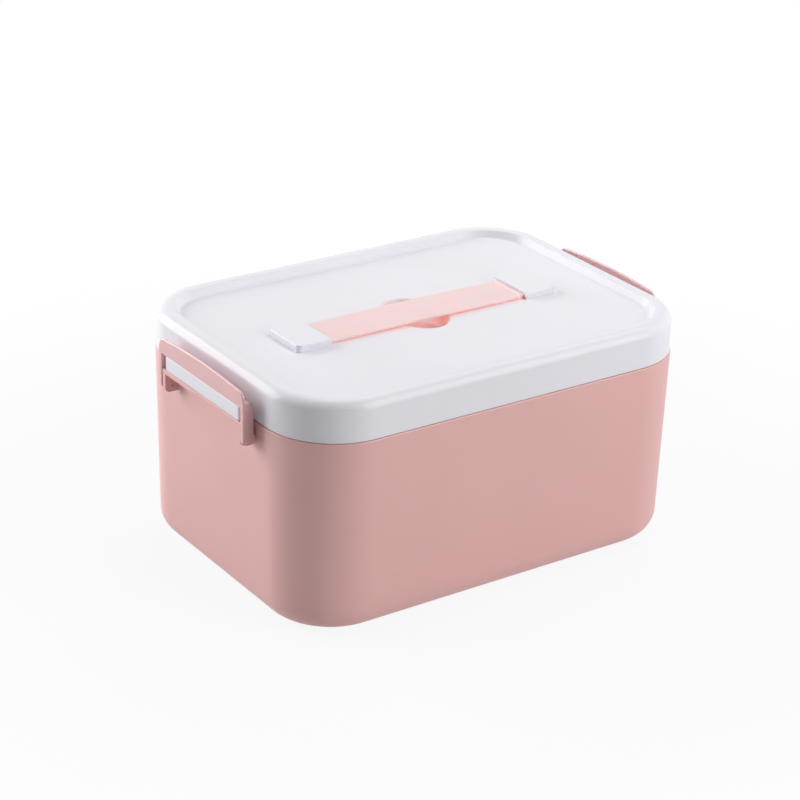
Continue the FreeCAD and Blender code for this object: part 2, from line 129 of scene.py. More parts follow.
class LidSizes(bpy.types.PropertyGroup):
    """Sizes of the white lid."""
    step: length("Step", "How far the lid stands inside the tub's outline", 0.5)
    draft: angle("Draft", "Lean of the skirt, narrowing upwards", 1.0)
    skirt: length("Skirt wall", "Thickness of the skirt", 2.0)
    rim_round: length("Rim round", "Round between the skirt and the rim", 8.1)
    rim_width: length("Rim width", "From the outside to the rim's inner edge", 11.9)
    panel_drop: length("Panel drop", "From the rim's top to the panel", 5.6)
    slope: length("Slope", "Run of the slope inside the rim", 4.0)
    panel_wall: length("Panel wall", "Thickness of the panel", 2.3)
    crest: length("Crest round", "Round on the rim's inner edge", 1.4)
    hollow: length("Hollow round", "Round between the panel and its slope", 2.5)
    dish_half_width: length("Dish half width", "Half of the finger dish along the strap", 16.5)
    dish_half_length: length("Dish half length", "Half of the finger dish across the strap", 28.5)
    dish_depth: length("Dish depth", "Depth of the finger dish", 12.0)
    dish_slope: length("Dish slope", "Run of the dish's wall", 6.0)
    dish_floor: length("Dish floor round", "Round at the foot of the dish", 7.0)
    dish_lip: length("Dish lip", "Round on the lip of the dish", 2.6)
    dish_wall: length("Dish wall", "Wall of the dish", 2.2)
    bar_edge: length("Lip bar edge", "Round on the lip bars' edges", 0.3)
    bar_front: length("Lip bar front", "Round on the lip bars' front edges", 0.9)


class LatchSizes(bpy.types.PropertyGroup):
    """Sizes of the latches."""
    edge: length("Edge round", "Round on the edges", 0.25)
    crown_edge: length("Crown round", "Round on the front edges above the crown's foot", 0.32)
    crown_foot: length("Crown foot", "Height above the lid's edge where the wider round starts", 10.0)
    crown_depth: length("Crown depth", "How far behind the front the wider round reaches", 0.6)
    dimple: share("Dimple", "Width of the dimple in a pin's end, as a share of the pin", 0.68)
    dimple_floor: share("Dimple floor", "Width of the dimple's floor, as a share of the dimple", 0.85)
    dimple_depth: length("Dimple depth", "Depth of the dimple", 0.7)


class StrapSizes(bpy.types.PropertyGroup):
    """Sizes of the carrying strap."""
    thick: length("Thickness", "Thickness of the band", 1.9)
    collar: length("Collar thickness", "Thickness of the band's collar before a cap", 2.9)
    neck: length("Collar length", "Length of the collar before a cap", 2.8)
    step: length("Step", "Run of the step up to the collar", 0.5)
    mouth_gap: length("Mouth gap", "Groove between the collar and the cap", 0.5)
    edge: length("Edge round", "Round on the long edges", 0.7)
    arch: length("Arch", "Rise of the band's middle at rest", 0.6)
    cap_slope: length("Cap slope", "Slope round a cap's top in the packed part", 1.4)
    cap_corner: length("Cap corner", "Upright corner radius of a cap", 3.2)
    cap_edge: length("Cap edge", "Round on a cap's edges", 0.2)
    cap_crest: length("Cap crest", "Round on the edges beside a cap's slope", 0.4)


class TraySizes(bpy.types.PropertyGroup):
    """Sizes of the tray and its dividers."""
    edge: length("Edge round", "Round on the edges", 0.3)


class Finish(bpy.types.PropertyGroup):
    """Colours and gloss of the plastics."""
    pink: colour("Pink", "Tub", (0.765, 0.432, 0.415))
    # Paler than the tub's pink: partly the latches' own colour, partly a painted sheen for the white light
    # they reflect.
    latch: colour("Latch pink", "Latches", (0.81, 0.51, 0.515))
    white: colour("White", "Lid and strap caps", (0.842, 0.833, 0.887))
    strap: colour("Strap", "Carrying strap", (0.855, 0.662, 0.655))
    through: colour("Strap light", "Light that each face of the strap lets through", (0.80, 0.32, 0.19))
    tray: colour("Tray", "Lift-out tray", (0.86, 0.86, 0.87))
    divider: colour("Divider", "Removable dividers", (0.88, 0.89, 0.90))
    tub_roughness: share("Tub roughness", "Roughness of the tub", 0.45)
    lid_roughness: share("Lid roughness", "Roughness of the lid and the caps", 0.20)
    latch_roughness: share("Latch roughness", "Roughness of the latches", 0.20)
    strap_roughness: share("Strap roughness", "Roughness of the strap", 0.40)
    tray_roughness: share("Tray roughness", "Roughness of the tray", 0.45)
    divider_roughness: share("Divider roughness", "Roughness of the dividers", 0.40)
    tub_gloss: share("Tub gloss", "Strength of the tub's reflections", 0.9)
    lid_gloss: share("Lid gloss", "Strength of the lid's and the caps' reflections", 0.26)
    scatter: share("Scatter", "Light that spreads inside the latches and the strap", 0.4)
    scatter_depth: length("Scatter depth", "How far that light spreads", 2.5)


class Studio(bpy.types.PropertyGroup):
    """Light levels of the studio."""
    top: amount("Top light", "Power of the overhead softbox", 20.0)
    left: amount("Left light", "Power of the tall softbox at the back left", 53.0)
    right: amount("Right light", "Power of the tall softbox at the front right", 25.5)
    sky: amount("Sky", "Level of the surrounding light", 0.02)
    floor: colour("Floor", "Floor colour", (0.72, 0.72, 0.72))


GROUPS = {"tub": TubSizes, "lid": LidSizes, "latch": LatchSizes, "strap": StrapSizes, "tray": TraySizes,
          "finish": Finish, "studio": Studio}


def settings(name):
    return getattr(bpy.context.scene, "first_aid_" + name)


def rounded_path(corners):
    """Path of (out, z) points from (out, z, radius) corners, with arcs that are tangent to both sides."""
    step = math.radians(9)
    points = []
    for i, (out, z, radius) in enumerate(corners):
        here = Vector((out, z))
        if radius == 0 or i in (0, len(corners) - 1):
            points.append((out, z))
            continue
        back = (Vector(corners[i - 1][:2]) - here).normalized()
        ahead = (Vector(corners[i + 1][:2]) - here).normalized()
        opening = back.angle(ahead)
        centre = here + (back + ahead).normalized() * radius / math.sin(opening / 2)
        run = radius / math.tan(opening / 2)
        start = here + back * run - centre
        turn = start.angle_signed(here + ahead * run - centre)
        count = max(2, round(abs(turn) / step))
        for k in range(count + 1):
            spoke = start.copy()
            spoke.rotate(Matrix.Rotation(-turn * k / count, 2))
            points.append(tuple(centre + spoke))
    return points


def place_ring(verts, core, reach, z):
    """Puts a ring's vertices at one distance from a core rectangle, and at one height."""
    for v in verts:
        foot = Vector((max(-core[0], min(core[0], v.co.x)), max(-core[1], min(core[1], v.co.y))))
        away = (v.co.xy - foot).normalized()
        v.co = (*(foot + away * reach), z)


def loft(bm, face, core, path, keep_first, close_last):
    """Draws a face's outline along a path of (reach, z) points; returns its first and last ring of edges."""
    first = list(face.edges)
    place_ring(face.verts, core, *path[0])
    if not keep_first:
        bmesh.ops.delete(bm, geom=[face], context="FACES_ONLY")
    ring = first
    for reach, z in path[1:]:
        made = bmesh.ops.extrude_edge_only(bm, edges=ring)["geom"]
        verts = {g for g in made if isinstance(g, bmesh.types.BMVert)}
        ring = [g for g in made if isinstance(g, bmesh.types.BMEdge) and all(v in verts for v in g.verts)]
        place_ring(verts, core, reach, z)
    if close_last:
        bmesh.ops.contextual_create(bm, geom=ring)
    return first, ring


def rounded_face(bm, half_x, half_y, radius):
    """Flat face with round corners about the Z axis."""
    corner_cuts = 20
    side_cuts = 6
    before = set(bm.faces)
    signs = ((1, 1), (-1, 1), (-1, -1), (1, -1))
    corners = [bm.verts.new((sx * half_x, sy * half_y, 0)) for sx, sy in signs]
    bm.faces.new(corners)
    bmesh.ops.bevel(bm, geom=corners, offset=radius, offset_type="OFFSET", segments=corner_cuts, profile=0.5,
                    material=-1, affect="VERTICES", clamp_overlap=False)
    face = next(f for f in bm.faces if f not in before)
    sides = [e for e in face.edges if e.calc_length() > radius / 2]
    bmesh.ops.subdivide_edges(bm, edges=sides, cuts=side_cuts)
    return next(f for f in bm.faces if f not in before)


def moulded_wall(bm, corner, path, closed=True):
    """Lofts the tub's outline along (out, z) points, out counted from its outside; returns both rings."""
    face = rounded_face(bm, HALF_LENGTH, HALF_WIDTH, corner)
    core = (HALF_LENGTH - corner, HALF_WIDTH - corner)
    return loft(bm, face, core, [(corner + out, z) for out, z in path], keep_first=closed, close_last=closed)


def round_face(bm, core):
    """Flat face with half-round ends, long across the strap."""
    spokes = 56
    before = set(bm.faces)
    turn = Matrix.Rotation(math.pi / spokes, 4, "Z")
    bmesh.ops.create_circle(bm, cap_ends=True, segments=spokes, radius=core[1], matrix=turn)
    face = next(f for f in bm.faces if f not in before)
    for v in face.verts:
        v.co.y += math.copysign(core[1], v.co.y)
    return face


def bowl_wall(bm, core, path):
    """Lofts a round-ended outline up from its floor along (reach, z) points; returns the last ring."""
    return loft(bm, round_face(bm, core), core, path, keep_first=True, close_last=False)[1]


def block(bm, low, high):
    """Box between two corners."""
    low, high = Vector(low), Vector(high)
    middle = Matrix.Translation((low + high) / 2)
    size = Matrix.Diagonal((*(high - low), 1))
    bmesh.ops.create_cube(bm, size=1, matrix=middle @ size)


def bevel_edges(bm, edges, width, segments):
    bmesh.ops.bevel(bm, geom=list(edges), offset=width, offset_type="OFFSET", segments=segments, profile=0.5,
                    material=-1, affect="EDGES", clamp_overlap=True)


def add_object(name, data):
    obj = bpy.data.objects.new(name, data)
    bpy.context.scene.collection.objects.link(obj)
    return obj


def add_mesh(name, bm):
    """Turns a bmesh into an object, and frees it."""
    mesh = bpy.data.meshes.new(name)
    bm.to_mesh(mesh)
    bm.free()
    return add_object(name, mesh)


def finish_piece(bm, name, body, node, material):
    """Turns a bmesh into a smooth piece that replaces a node and rides on a body, unless that is None."""
    for face in bm.faces:
        face.smooth = True
    obj = add_mesh(name, bm)
    obj.data.materials.append(bpy.data.materials[material])
    if body:
        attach(obj, body)
    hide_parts(node)
    return obj


def weighted(obj):
    """Flat faces stay flat beside their rounds."""
    normals = obj.modifiers.new("weighted_normals", "WEIGHTED_NORMAL")
    normals.weight = 100


def soft_edges(obj, width, segments=3, wide=None, wide_width=0.0):
    """Rounds the sharp edges of a piece; the edges that wide(middle) picks get a wider round."""
    sharp = math.radians(25)
    full = max(width, wide_width)
    mesh = obj.data
    bm = bmesh.new()
    bm.from_mesh(mesh)
    weight = bm.edges.layers.float.new("bevel_weight_edge")
    for edge in bm.edges:
        if edge.is_manifold and edge.calc_face_angle() > sharp:
            middle = (edge.verts[0].co + edge.verts[1].co) / 2
            edge[weight] = (wide_width if wide and wide(middle) else width) / full
    bm.to_mesh(mesh)
    bm.free()
    bevel = obj.modifiers.new("edge_round", "BEVEL")
    bevel.width = full
    bevel.segments = segments
    bevel.limit_method = "WEIGHT"
    bevel.use_clamp_overlap = True
    weighted(obj)


def merged_copy(node):
    """A CAD node's mesh with its triangles joined and its flat faces whole."""
    bm = bmesh.new()
    bm.from_mesh(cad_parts[node].data)
    flat = math.radians(1.0)
    bmesh.ops.remove_doubles(bm, verts=bm.verts, dist=2 * TOUCHING)
    bmesh.ops.dissolve_limit(bm, angle_limit=flat, verts=bm.verts, edges=bm.edges)
    return bm


def beyond_wall(node, wall_x):
    """What a CAD node has outside its short walls on both sides, with a root that reaches into the wall."""
    clear = 0.02 * MM
    root = 1.2 * MM
    whole = bmesh.new()
    for side in (-1, 1):
        bm = merged_copy(node)
        geom = bm.verts[:] + bm.edges[:] + bm.faces[:]
        bmesh.ops.bisect_plane(bm, geom=geom, dist=TOUCHING, plane_co=(side * (wall_x + clear), 0, 0),
                               plane_no=(-side, 0, 0), clear_outer=True)
        rim = [e for e in bm.edges if e.is_boundary]
        made = bmesh.ops.extrude_edge_only(bm, edges=rim)["geom"]
        verts = [g for g in made if isinstance(g, bmesh.types.BMVert)]
        bmesh.ops.translate(bm, vec=(-side * root, 0, 0), verts=verts)
        bmesh.ops.holes_fill(bm, edges=[e for e in bm.edges if e.is_boundary], sides=0)
        bmesh.ops.recalc_face_normals(bm, faces=bm.faces)
        part = bpy.data.meshes.new("part")
        bm.to_mesh(part)
        bm.free()
        whole.from_mesh(part)
        bpy.data.meshes.remove(part)
    return whole


class FIRSTAID_OT_finishes(bpy.types.Operator):
    """Make the plastics' materials"""
    bl_idname = "firstaid.finishes"
    bl_label = "Finishes"

    def execute(self, context):
        finish = settings("finish")
        plastic("tub_pink", finish.pink, finish.tub_roughness, gloss=finish.tub_gloss)
        # The latches' colour holds a painted sheen as well as their own paler pink.
        plastic("latch_pink", finish.latch, finish.latch_roughness, scatter=finish.scatter)
        plastic("lid_white", finish.white, finish.lid_roughness, gloss=finish.lid_gloss)
        strap = plastic("strap_pink", finish.strap, finish.strap_roughness, scatter=finish.scatter)
        pass_light(strap, finish.through)
        plastic("tray_white", finish.tray, finish.tray_roughness)
        plastic("divider_white", finish.divider, finish.divider_roughness)
        return {"FINISHED"}


def moulded_surface():
    """Node group: colour drift, edges paled partly by wear and partly by a painted highlight, handling scuffs
    and the fine skin of moulded plastic.
    """
    name = "moulded_surface"
    if name in bpy.data.node_groups:
        return bpy.data.node_groups[name]
    group = bpy.data.node_groups.new(name, "ShaderNodeTree")
    face = group.interface
    inputs = (("Color", "NodeSocketColor", (0.8, 0.8, 0.8, 1)), ("Roughness", "NodeSocketFloat", 0.3),
              ("Drift", "NodeSocketFloat", 0.02), ("Wear", "NodeSocketFloat", 0.12),
              ("Skin Scale", "NodeSocketFloat", 900.0))
    for label, kind, value in inputs:
        socket = face.new_socket(name=label, in_out="INPUT", socket_type=kind)
        socket.default_value = value
    for label, kind in (("Color", "NodeSocketColor"), ("Roughness", "NodeSocketFloat"),
                        ("Height", "NodeSocketFloat")):
        face.new_socket(name=label, in_out="OUTPUT", socket_type=kind)
    nodes, links = group.nodes, group.links
    given = nodes.new("NodeGroupInput")
    out = nodes.new("NodeGroupOutput")
    place = nodes.new("ShaderNodeTexCoord")

    def noise(scale, detail, stretch=None):
        tex = nodes.new("ShaderNodeTexNoise")
        tex.inputs["Detail"].default_value = detail
        source = place.outputs["Object"]
        if stretch:
            turn = nodes.new("ShaderNodeMapping")
            turn.inputs["Scale"].default_value = stretch
            turn.inputs["Rotation"].default_value = (0.3, 0.2, 0.7)
            links.new(source, turn.inputs["Vector"])
            source = turn.outputs["Vector"]
        links.new(source, tex.inputs["Vector"])
        if isinstance(scale, float):
            tex.inputs["Scale"].default_value = scale
        else:
            links.new(scale, tex.inputs["Scale"])
        return tex.outputs["Fac"]

    def math_node(operation, first, second, clamp=False):
        node = nodes.new("ShaderNodeMath")
        node.operation = operation
        node.use_clamp = clamp
        for socket, value in zip(node.inputs, (first, second)):
            if isinstance(value, (int, float)):
                socket.default_value = value
            else:
                links.new(value, socket)
        return node.outputs[0]

    def ramp(value, low, high):
        node = nodes.new("ShaderNodeMapRange")
        node.interpolation_type = "SMOOTHSTEP"
        node.inputs["From Min"].default_value = low
        node.inputs["From Max"].default_value = high
        links.new(value, node.inputs["Value"])
        return node.outputs["Result"]

    cloud = ramp(noise(scale=11.0, detail=3.0), low=0.35, high=0.65)
    shade = math_node("SUBTRACT", 1.0, math_node("MULTIPLY", cloud, given.outputs["Drift"]))
    bevel = nodes.new("ShaderNodeBevel")
    bevel.samples = 4
    bevel.inputs["Radius"].default_value = 0.8 * MM
    true_normal = nodes.new("ShaderNodeNewGeometry")
    dot = nodes.new("ShaderNodeVectorMath")
    dot.operation = "DOT_PRODUCT"
    links.new(bevel.outputs["Normal"], dot.inputs[0])
    links.new(true_normal.outputs["Normal"], dot.inputs[1])
    edge = ramp(math_node("SUBTRACT", 1.0, dot.outputs["Value"]), low=0.01, high=0.12)
    patchy = ramp(noise(scale=160.0, detail=4.0), low=0.42, high=0.6)
    # Paler edges: partly wear, partly a painted highlight along the moulded edges.
    wear_and_highlight = math_node("MULTIPLY", math_node("MULTIPLY", edge, patchy), given.outputs["Wear"])
    tint = nodes.new("ShaderNodeMix")
    tint.data_type = "RGBA"
    tint.blend_type = "MULTIPLY"
    tint.inputs["Factor"].default_value = 1.0
    links.new(given.outputs["Color"], tint.inputs["A"])
    links.new(shade, tint.inputs["B"])
    # Mixes a pale colour in along the edges: wear and a painted highlight.
    wear_and_highlight_tint = nodes.new("ShaderNodeMix")
    wear_and_highlight_tint.data_type = "RGBA"
    wear_and_highlight_tint.inputs["B"].default_value = (0.95, 0.93, 0.92, 1)
    links.new(wear_and_highlight, wear_and_highlight_tint.inputs["Factor"])
    links.new(tint.outputs["Result"], wear_and_highlight_tint.inputs["A"])
    links.new(wear_and_highlight_tint.outputs["Result"], out.inputs["Color"])

    scuff = ramp(noise(scale=120.0, detail=2.0, stretch=(1.0, 14.0, 14.0)), low=0.6, high=0.8)
    rough = given.outputs["Roughness"]
    for mask, rise in ((scuff, 0.008), (cloud, 0.012), (wear_and_highlight, 0.2)):
        rough = math_node("ADD", rough, math_node("MULTIPLY", mask, rise), clamp=True)
    links.new(rough, out.inputs["Roughness"])
    skin = noise(given.outputs["Skin Scale"], detail=2.0)
    swell = math_node("MULTIPLY", noise(scale=30.0, detail=1.0), 2.0)
    links.new(math_node("ADD", skin, swell), out.inputs["Height"])
    return group


def plastic(name, rgb, roughness, scatter=0.0, gloss=0.5):
    """A moulded plastic with the shared surface; scatter is the share of light that spreads inside it."""
    material = bpy.data.materials.new(name)
    material.use_nodes = True
    nodes, links = material.node_tree.nodes, material.node_tree.links
    shader = nodes["Principled BSDF"]
    surface = nodes.new("ShaderNodeGroup")
    surface.node_tree = moulded_surface()
    surface.inputs["Color"].default_value = (*rgb, 1)
    surface.inputs["Roughness"].default_value = roughness
    bump = nodes.new("ShaderNodeBump")
    bump.inputs["Strength"].default_value = 0.5
    bump.inputs["Distance"].default_value = 0.004 * MM
    links.new(surface.outputs["Color"], shader.inputs["Base Color"])
    links.new(surface.outputs["Roughness"], shader.inputs["Roughness"])
    links.new(surface.outputs["Height"], bump.inputs["Height"])
    links.new(bump.outputs["Normal"], shader.inputs["Normal"])
    shader.inputs["IOR"].default_value = 1.49
    shader.inputs["Specular IOR Level"].default_value = gloss
    if scatter:
        shader.inputs["Subsurface Weight"].default_value = scatter
        shader.inputs["Subsurface Radius"].default_value = (1.0, 0.36, 0.26)
        shader.inputs["Subsurface Scale"].default_value = settings("finish").scatter_depth
    return material


def pass_light(material, tint):
    """Lets lamps through a thin moulding, so that what lies in its shadow takes its colour."""
    nodes, links = material.node_tree.nodes, material.node_tree.links
    through = nodes.new("ShaderNodeBsdfTransparent")
    through.inputs["Color"].default_value = (*tint, 1)
    path = nodes.new("ShaderNodeLightPath")
    mix = nodes.new("ShaderNodeMixShader")
    links.new(path.outputs["Is Shadow Ray"], mix.inputs["Fac"])
    links.new(nodes["Principled BSDF"].outputs["BSDF"], mix.inputs[1])
    links.new(through.outputs["BSDF"], mix.inputs[2])
    links.new(mix.outputs["Shader"], nodes["Material Output"].inputs["Surface"])


class FIRSTAID_OT_tub(bpy.types.Operator):
    """Model the pink tub with its brackets and tray posts"""
    bl_idname = "firstaid.tub"
    bl_label = "Tub"

    def execute(self, context):
        s = settings("tub")
        lean = math.tan(s.draft)

        def wall(z, inset=0.0):
            return -inset - (SHOULDER_Z - z) * lean

        tongue_in = s.tongue_inset + s.tongue_wall
        neck_low = SHOULDER_Z - s.neck_drop
        neck_high = neck_low + s.neck_rise
        floor_end = -s.ring_in
        ring_edge = 0.3 * MM
        tongue_foot, tongue_edge = 0.2 * MM, 0.5 * MM
        neck_round = 1.0 * MM
        path = rounded_path([
            (floor_end, s.recess, 0), (floor_end, 0, ring_edge), (wall(0), 0, s.foot),
            (0, SHOULDER_Z, s.shoulder_edge), (-s.tongue_inset, SHOULDER_Z, tongue_foot),
            (-s.tongue_inset, TUB_HIGH.z, tongue_edge), (-tongue_in, TUB_HIGH.z, tongue_edge),
            (wall(neck_high, tongue_in), neck_high, neck_round),
            (wall(neck_low, s.wall), neck_low, neck_round),
            (wall(s.floor, s.wall), s.floor, s.foot_inside), (floor_end, s.floor, 0),
        ])
        bm = bmesh.new()
        moulded_wall(bm, s.corner, path)
        bmesh.ops.recalc_face_normals(bm, faces=bm.faces)
        weighted(finish_piece(bm, "tub_shell", "tub", "tub", "tub_pink"))
        brackets = finish_piece(beyond_wall("tub", HALF_LENGTH), "tub_brackets", "tub", "tub", "tub_pink")
        soft_edges(brackets, s.bracket_edge)
        self.posts(s, wall)
        return {"FINISHED"}

    def posts(self, s, wall):
        """Upright posts that carry the tray, their feet inside the tub's round."""
        inside = s.wall + s.post_depth
        root_in = 1.0 * MM
        root = s.wall + root_in
        foot = rounded_path([
            (-inside, s.floor, 0), (wall(s.floor, s.wall / 2), s.wall / 2, s.foot - s.wall / 2),
            (-root, s.post_top, 0),
        ])
        foot = [p for p in foot if p[1] > s.wall / 2 and p[0] < -root] + [(-root, s.post_top)]
        outline = [(-inside, s.post_top)] + [p for p in foot if p[0] > -inside]
        whole = bmesh.new()
        places = [(0, side, HALF_LENGTH) for side in (0, 2)]
        for across in (-0.5, 0.5):
            places += [(across * s.post_pitch, side, HALF_WIDTH) for side in (1, 3)]
        for along, quarter, reach in places:
            verts = [whole.verts.new((reach + out, along - s.post_thick / 2, z)) for out, z in outline]
            made = bmesh.ops.extrude_face_region(whole, geom=[whole.faces.new(verts)])["geom"]
            top = [g for g in made if isinstance(g, bmesh.types.BMVert)]
            bmesh.ops.translate(whole, vec=(0, s.post_thick, 0), verts=top)
            turn = Matrix.Rotation(quarter * math.pi / 2, 3, "Z")
            bmesh.ops.rotate(whole, cent=(0, 0, 0), matrix=turn, verts=verts + top)
        bmesh.ops.recalc_face_normals(whole, faces=whole.faces)
        soft_edges(finish_piece(whole, "tub_posts", "tub", "tub", "tub_pink"), s.post_edge)


class FIRSTAID_OT_lid(bpy.types.Operator):
    """Model the white lid with its finger dish and lip bars"""
    bl_idname = "firstaid.lid"
    bl_label = "Lid"

    def execute(self, context):
        s = settings("lid")
        lean = math.tan(s.draft)
        edge_z, crown_z = LID_LOW.z, LID_HIGH.z
        panel_z = crown_z - s.panel_drop
        under_z = panel_z - s.panel_wall
        ceiling = crown_z - s.panel_wall

        def skirt(z, inset=0.0):
            return -s.step - inset - (z - edge_z) * lean

        slope_foot = skirt(panel_z, s.rim_width + s.slope)
        slope_top = skirt(crown_z, s.rim_width)
        hollow_foot = slope_foot + s.panel_wall
        hollow_top = hollow_foot + (slope_top - slope_foot) * (ceiling - under_z) / s.panel_drop
        flat = 5 * MM
        panel_end = slope_foot - flat
        outer_edge, inner_edge = 0.5 * MM, 0.3 * MM
        hollow_crest, hollow_round = 1.0 * MM, 1.5 * MM
        path = rounded_path([
            (panel_end, panel_z, 0), (slope_foot, panel_z, s.hollow), (slope_top, crown_z, s.crest),
            (skirt(crown_z), crown_z, s.rim_round), (skirt(edge_z), edge_z, outer_edge),
            (skirt(edge_z, s.skirt), edge_z, inner_edge),
            (skirt(ceiling, s.skirt), ceiling, s.rim_round - s.skirt),
            (hollow_top, ceiling, hollow_crest), (hollow_foot, under_z, hollow_round),
            (panel_end, under_z, 0),
        ])
        bm = bmesh.new()
        panel_ring, under_ring = moulded_wall(bm, settings("tub").corner, path, closed=False)

        dish_core = (0, s.dish_half_length - s.dish_half_width)
        dish_floor = panel_z - s.dish_depth
        lip_run = 1.8 * s.dish_lip
        lip_end = s.dish_half_width + lip_run
        middle = s.dish_half_width / 4
        shell_foot = 1.0 * MM
        bowl = rounded_path([
            (middle, dish_floor, 0), (s.dish_half_width - s.dish_slope, dish_floor, s.dish_floor),
            (s.dish_half_width, panel_z, s.dish_lip), (lip_end, panel_z, 0),
        ])
        lip_ring = bowl_wall(bm, dish_core, bowl)
        outside = s.dish_half_width + s.dish_wall
        shell = rounded_path([
            (middle, dish_floor - s.dish_wall, 0),
            (outside - s.dish_slope, dish_floor - s.dish_wall, s.dish_floor + s.dish_wall),
            (outside, under_z, shell_foot), (lip_end, under_z, 0),
        ])
        bowl_ring = bowl_wall(bm, dish_core, shell)
        for outer, inner in ((panel_ring, lip_ring), (under_ring, bowl_ring)):
            bmesh.ops.triangle_fill(bm, use_beauty=True, use_dissolve=False, edges=outer + inner,
                                    normal=(0, 0, 1))
        bmesh.ops.recalc_face_normals(bm, faces=bm.faces)
        weighted(finish_piece(bm, "lid_shell", "lid", "lid", "lid_white"))
        bars = beyond_wall("lid", HALF_LENGTH - s.step)
        bars = finish_piece(bars, "lid_lip_bars", "lid", "lid", "lid_white")
        near = 0.1 * MM
        front = max(v.co.x for v in bars.data.vertices) - near
        soft_edges(bars, s.bar_edge, 4, lambda p: abs(p.x) > front, s.bar_front)
        return {"FINISHED"}


class FIRSTAID_OT_latches(bpy.types.Operator):
    """Model the two latches with their edges rounded"""
    bl_idname = "firstaid.latches"
    bl_label = "Latches"

    def execute(self, context):
        s = settings("latch")
        crown = LID_LOW.z + s.crown_foot
        for side in ("left", "right"):
            node = "latch_" + side
            bm = merged_copy(node)
            self.pin_ends(bm)
            obj = finish_piece(bm, node + "_moulding", node, node, "latch_pink")
            front = max(abs(v.co.x) for v in obj.data.vertices) - s.crown_depth
            soft_edges(obj, s.edge, 3, lambda p: abs(p.x) > front and p.z > crown, s.crown_edge)
        return {"FINISHED"}

    def pin_ends(self, bm):
        """A dimple with a flat floor in the round end of each pivot pin."""
        s = settings("latch")
        fewest_sides, largest, roundness, upright = 9, 3 * MM, 0.95, 0.99
        inward = [f for f in bm.faces
                  if abs(f.normal.y) > upright and f.normal.y * f.calc_center_median().y < 0]
        for face in inward:
            centre = face.calc_center_bounds()
            reach = [(v.co - centre).length for v in face.verts]
            if len(reach) < fewest_sides or max(reach) > largest or min(reach) < roundness * max(reach):
                continue
            for width, sink in ((s.dimple, 0), (s.dimple_floor, s.dimple_depth)):
                drop = -face.normal * sink
                bmesh.ops.inset_individual(bm, faces=[face], thickness=0, depth=0)
                for v in face.verts:
                    v.co = centre + (v.co - centre) * width + drop


class FIRSTAID_OT_strap(bpy.types.Operator):
    """Model the carrying strap as two halves, with its end tongues and caps"""
    bl_idname = "firstaid.strap"
    bl_label = "Strap"

    def execute(self, context):
        s = settings("strap")
        for side, name in ((-1, "left"), (1, "right")):
            self.half(side, name)
            cap = "strap_cap_" + name
            bm = merged_copy(cap)
            self.crisp_cap(bm)
            obj = finish_piece(bm, cap + "_moulding", "lid", cap, "lid_white")
            soft_edges(obj, s.cap_edge, 4, self.outside_cap, s.cap_crest)
            self.tongue(side, "strap_end_" + name)
        return {"FINISHED"}

    def tongue(self, side, end):
        """The band's end inside a cap."""
        obj = finish_piece(merged_copy(end), end + "_tongue", None, end, "strap_pink")
        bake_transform(obj)

    def crisp_cap(self, bm):
        """Halves the slope round a cap's top: its foot rises, and its crest moves out."""
        s = settings("strap")
        near = 10 * TOUCHING
        narrower = s.cap_slope / 2
        low, high = CAP_HIGH.z - s.cap_slope, CAP_HIGH.z
        core_x, core_y = CAP_HIGH.x - s.cap_corner, CAP_HIGH.y - s.cap_corner
        for v in bm.verts:
            foot = Vector((max(-core_x, min(core_x, v.co.x)), max(-core_y, min(core_y, v.co.y))))
            away = v.co.xy - foot
            if abs(v.co.z - low) < near and away.length > s.cap_corner - near:
                v.co.z += narrower
            elif abs(v.co.z - high) < near and away.length > near:
                v.co.xy += away.normalized() * narrower

    def outside_cap(self, p):
        """True on the slope round a cap's top."""
        s = settings("strap")
        spare = 0.1 * MM
        slope = s.cap_slope / 2 + spare
        outer = abs(p.y) > CAP_HIGH.y - slope or abs(p.x) > CAP_HIGH.x - slope - (s.cap_corner - slope) / 3
        return p.z > CAP_HIGH.z - slope and outer

    def half(self, side, name):
        """Half of the band, from the middle into one cap."""
        s = settings("strap")
        mouth = CAP_LOW.x
        end = BAND_HIGH.x
        steps = 60
        x0, x1 = sorted((0, side * end))
        bm = bmesh.new()
        block(bm, (x0, BAND_LOW.y, BAND_LOW.z), (x1, BAND_HIGH.y, BAND_HIGH.z))
        long_edges = [e for e in bm.edges if abs(e.verts[0].co.x - e.verts[1].co.x) > end / 2]
        top = [e for e in long_edges if e.verts[0].co.z > (BAND_LOW.z + BAND_HIGH.z) / 2]
        bottom = [e for e in long_edges if e not in top]
        bevel_edges(bm, top, s.edge, segments=5)
        bottom = [e for e in bottom if e.is_valid]
        bevel_edges(bm, bottom, s.edge / 2, segments=3)
        neck = mouth - s.neck
        back = mouth - s.mouth_gap
        cuts = [end * i / steps for i in range(1, steps)]
        cuts = [x for x in cuts if abs(x - neck) > 2 * s.step]
        # The step up to the collar, and the groove that ends it.
        cuts += [neck - 1.5 * s.step, neck - s.step, neck, neck + s.step / 2]
        cuts += [back - s.step, back - s.step / 2, back]
        for x in cuts:
            geom = bm.verts[:] + bm.edges[:] + bm.faces[:]
            bmesh.ops.bisect_plane(bm, geom=geom, plane_co=(side * x, 0, 0), plane_no=(1, 0, 0))
        middle = [f for f in bm.faces if all(abs(v.co.x) < TOUCHING for v in f.verts)]
        bmesh.ops.delete(bm, geom=middle, context="FACES_ONLY")
        for v in bm.verts:
            reach = abs(v.co.x)
            raised = max(0.0, min(1.0, (reach - neck + s.step) / s.step, 2 * (back - reach) / s.step))
            thick = s.thick + (s.collar - s.thick) * raised
            height = (v.co.z - BAND_LOW.z) * thick / s.thick
            ease = max(0.0, 1 - reach / mouth)
            v.co.z = BAND_LOW.z + height + s.arch * ease * ease * (3 - 2 * ease)
        bmesh.ops.recalc_face_normals(bm, faces=bm.faces)
        obj = finish_piece(bm, "strap_band_" + name, None, "strap_band", "strap_pink")
        weighted(obj)
        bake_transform(obj)


